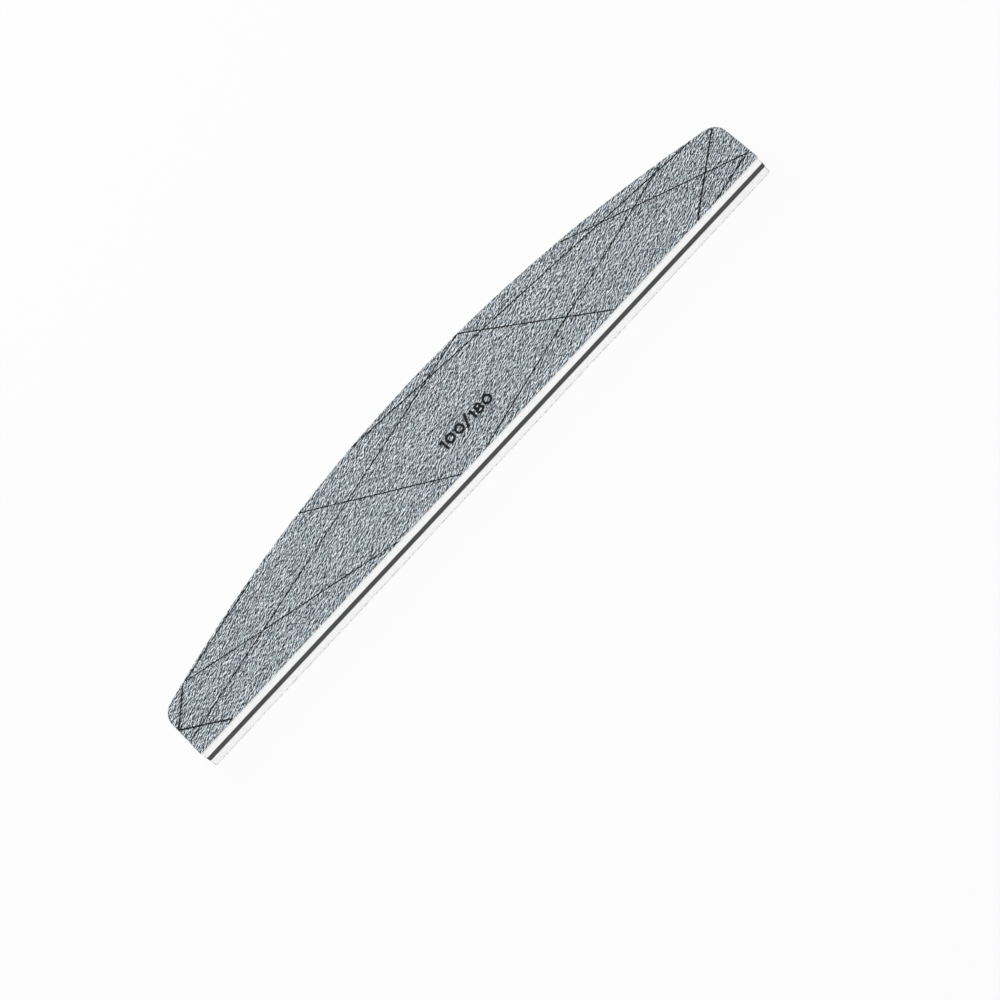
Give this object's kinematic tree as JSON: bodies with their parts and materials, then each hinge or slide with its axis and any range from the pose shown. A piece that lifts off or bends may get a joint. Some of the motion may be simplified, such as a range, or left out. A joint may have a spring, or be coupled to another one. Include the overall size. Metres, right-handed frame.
{
  "type": "half-moon cushioned nail file",
  "caption": "Half-moon nail file: a stiff core strip between foam pads, faced with coarse grit on top and fine grit below, cut in one outline with a straight and an arched edge.",
  "frame": {"origin": "on the fine-grit face, under the middle of the outline's box", "axes": "+X along the length, +Y from the straight edge to the crown of the arched edge, +Z from the fine face to the coarse face"},
  "size_m": [0.178, 0.028, 0.0073],
  "materials": {
    "coarse_grit": "100 grit mineral in grey resin, embossed, printed with thin black lines",
    "fine_grit": "180 grit mineral in grey resin",
    "backing_paper": "white latex paper, cut edge",
    "adhesive_film": "clear acrylic adhesive film",
    "foam": "white closed-cell EVA foam, die cut",
    "core_plastic": "dark grey extruded polystyrene sheet, die cut"
  },
  "bodies": {
    "root": {"fine_grit_coat": "fine_grit", "lower_backing_paper": "backing_paper", "lower_sheet_adhesive": "adhesive_film", "lower_foam_pad": "foam", "lower_core_adhesive": "adhesive_film", "core_strip": "core_plastic", "upper_core_adhesive": "adhesive_film", "upper_foam_pad": "foam", "upper_sheet_adhesive": "adhesive_film", "upper_backing_paper": "backing_paper", "coarse_grit_coat": "coarse_grit"}
  },
  "joints": []
}
